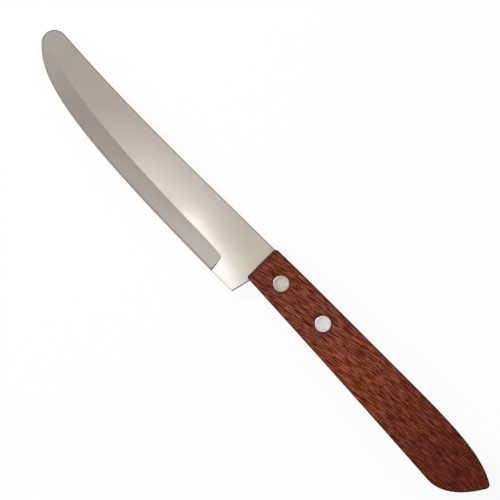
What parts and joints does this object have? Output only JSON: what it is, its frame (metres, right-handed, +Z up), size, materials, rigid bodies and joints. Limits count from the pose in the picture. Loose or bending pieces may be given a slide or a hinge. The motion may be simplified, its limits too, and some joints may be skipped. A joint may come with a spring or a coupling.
{
  "type": "round tip paring knife",
  "caption": "Small kitchen knife with a thin hollow-ground steel blade, a rounded blunt tip and a flat-sided wooden handle riveted over a half tang.",
  "frame": {"origin": "under the middle of the knife's bounding box, on the surface that the knife lies on", "axes": "+X along the knife from tip to butt, +Y from cutting edge to spine, +Z up through the thickness, out of the blade's upper face"},
  "size_m": [0.231, 0.0232, 0.0125],
  "materials": {
    "blade_steel": "satin stainless sheet, brushed along the blade, with a ground bevel",
    "handle_wood": "reddish-brown open-pored hardwood, oiled to a low sheen",
    "rivet_aluminium": "sanded flush with the wood"
  },
  "bodies": {
    "root": {"blade": "blade_steel", "handle": "handle_wood", "front_rivet_sleeve": "rivet_aluminium", "front_rivet_pin": "rivet_aluminium", "rear_rivet_sleeve": "rivet_aluminium", "rear_rivet_pin": "rivet_aluminium"}
  },
  "joints": []
}
